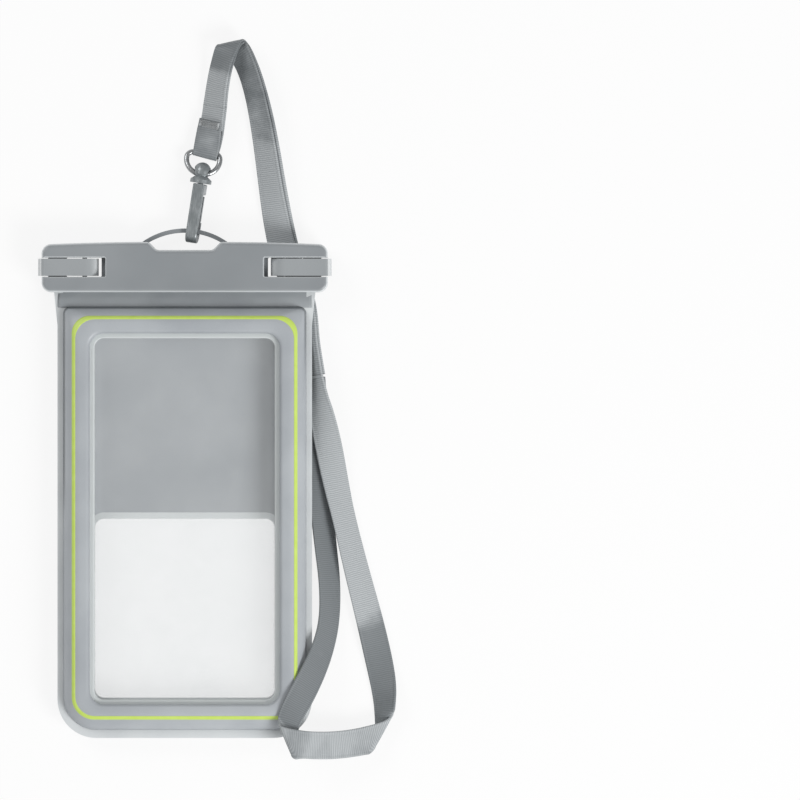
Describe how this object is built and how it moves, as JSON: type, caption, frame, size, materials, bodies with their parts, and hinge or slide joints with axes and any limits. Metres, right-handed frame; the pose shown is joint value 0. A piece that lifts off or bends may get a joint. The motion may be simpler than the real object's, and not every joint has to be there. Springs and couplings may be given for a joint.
{
  "type": "waterproof phone case",
  "caption": "Soft waterproof pouch with clear windows front and back, closed by a clamp bar with cam levers, on a neck lanyard with a snap hook.",
  "frame": {"origin": "on the surface that the case lies on, under the middle of the case without its lanyard", "axes": "+X to the right seen from the front window, +Y to the clamp, +Z out of the front window"},
  "size_m": [0.1534, 0.3107, 0.0221],
  "materials": {
    "clamp_grey": "satin moulded polycarbonate",
    "lever_grey": "glossy moulded acetal",
    "pin_steel": "ground",
    "seal_grey": "matt silicone",
    "film_grey": "soft satin film",
    "line_lime": "satin",
    "window_clear": "clear polished film",
    "hook_grey": "satin paint",
    "webbing_grey": "woven polyester"
  },
  "bodies": {
    "root": {"rear_jaw": "clamp_grey", "front_jaw": "clamp_grey", "left_latch_pin": "pin_steel", "right_latch_pin": "pin_steel", "mouth_seal": "seal_grey", "weld_flange": "film_grey", "front_cushion": "film_grey", "back_cushion": "film_grey", "mouth_film_front": "film_grey", "mouth_film_back": "film_grey", "accent_line_front": "line_lime", "accent_line_back": "line_lime", "front_window": "window_clear", "back_window": "window_clear", "hook_body": "hook_grey", "gate_pin": "pin_steel", "gate_spring": "pin_steel", "lanyard_doubled_strap": "webbing_grey", "lanyard_loop": "webbing_grey"},
    "left_lever": {"left_latch": "lever_grey"},
    "right_lever": {"right_latch": "lever_grey"},
    "gate": {"hook_gate": "hook_grey"},
    "swivel": {"swivel_eye": "hook_grey", "d_ring": "hook_grey", "lanyard_sewn_end": "webbing_grey"}
  },
  "joints": [
    {"name": "left_lever_hinge", "type": "hinge", "parent": "root", "child": "left_lever", "pos_m": [-0.042, 0.0906, 0.009], "axis": [0, 1, 0], "range_deg": [0, 105]},
    {"name": "right_lever_hinge", "type": "hinge", "parent": "root", "child": "right_lever", "pos_m": [0.042, 0.0906, 0.009], "axis": [0, -1, 0], "range_deg": [0, 105]},
    {"name": "gate_hinge", "type": "hinge", "parent": "root", "child": "gate", "pos_m": [0.00649, 0.12308, 0.00277], "axis": [-0.9786, 0.1515, -0.1392], "range_deg": [0, 11], "stiffness_Nm_per_rad": 0.02, "springref_deg": -5.73},
    {"name": "eye_swivel", "type": "hinge", "parent": "root", "child": "swivel", "pos_m": [0.00668, 0.12659, 0.00525], "axis": [0.153, 0.9882, 0], "continuous": true}
  ]
}
